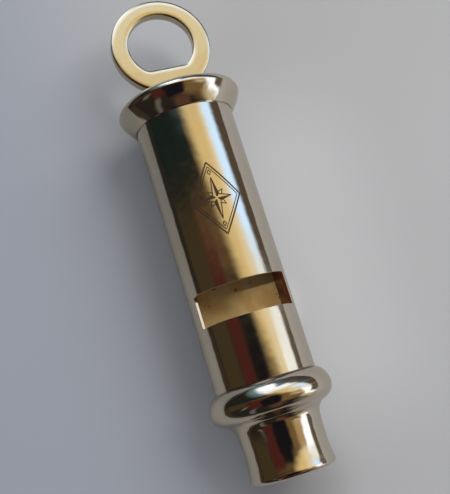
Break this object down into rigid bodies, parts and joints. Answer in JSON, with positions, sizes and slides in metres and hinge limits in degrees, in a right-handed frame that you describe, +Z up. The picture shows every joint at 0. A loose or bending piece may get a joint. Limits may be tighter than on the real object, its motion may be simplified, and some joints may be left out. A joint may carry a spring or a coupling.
{
  "type": "tube whistle",
  "caption": "Nickel-plated brass tube whistle with a beaded mouthpiece, sawn windows, a flared cap and a flat ring that swivels on it.",
  "frame": {"origin": "on the surface it lies on, under the middle of its length", "axes": "+X along the tube towards the ring, +Z up, out of the front window, +Y to the left of someone who looks from the mouth end to the ring"},
  "size_m": [0.0831, 0.021, 0.021],
  "materials": {
    "nickel_plate": "polished nickel plate",
    "ring_nickel": "polished nickel plate with faint wear",
    "stained_brass": "dull, stained",
    "plain_brass": "satin"
  },
  "bodies": {
    "whistle": {"barrel": "nickel_plate", "mouthpiece": "nickel_plate", "cap": "nickel_plate", "divider_plate": "stained_brass", "front_windway_block": "plain_brass", "back_windway_block": "plain_brass", "end_disc": "plain_brass", "chamber_stop": "plain_brass"},
    "ring": {"suspension_ring": "ring_nickel", "stem_washer": "plain_brass"}
  },
  "joints": [
    {"name": "ring_swivel", "type": "hinge", "parent": "whistle", "child": "ring", "pos_m": [0.02375, 0, 0.0105], "axis": [1, 0, 0], "continuous": true}
  ]
}
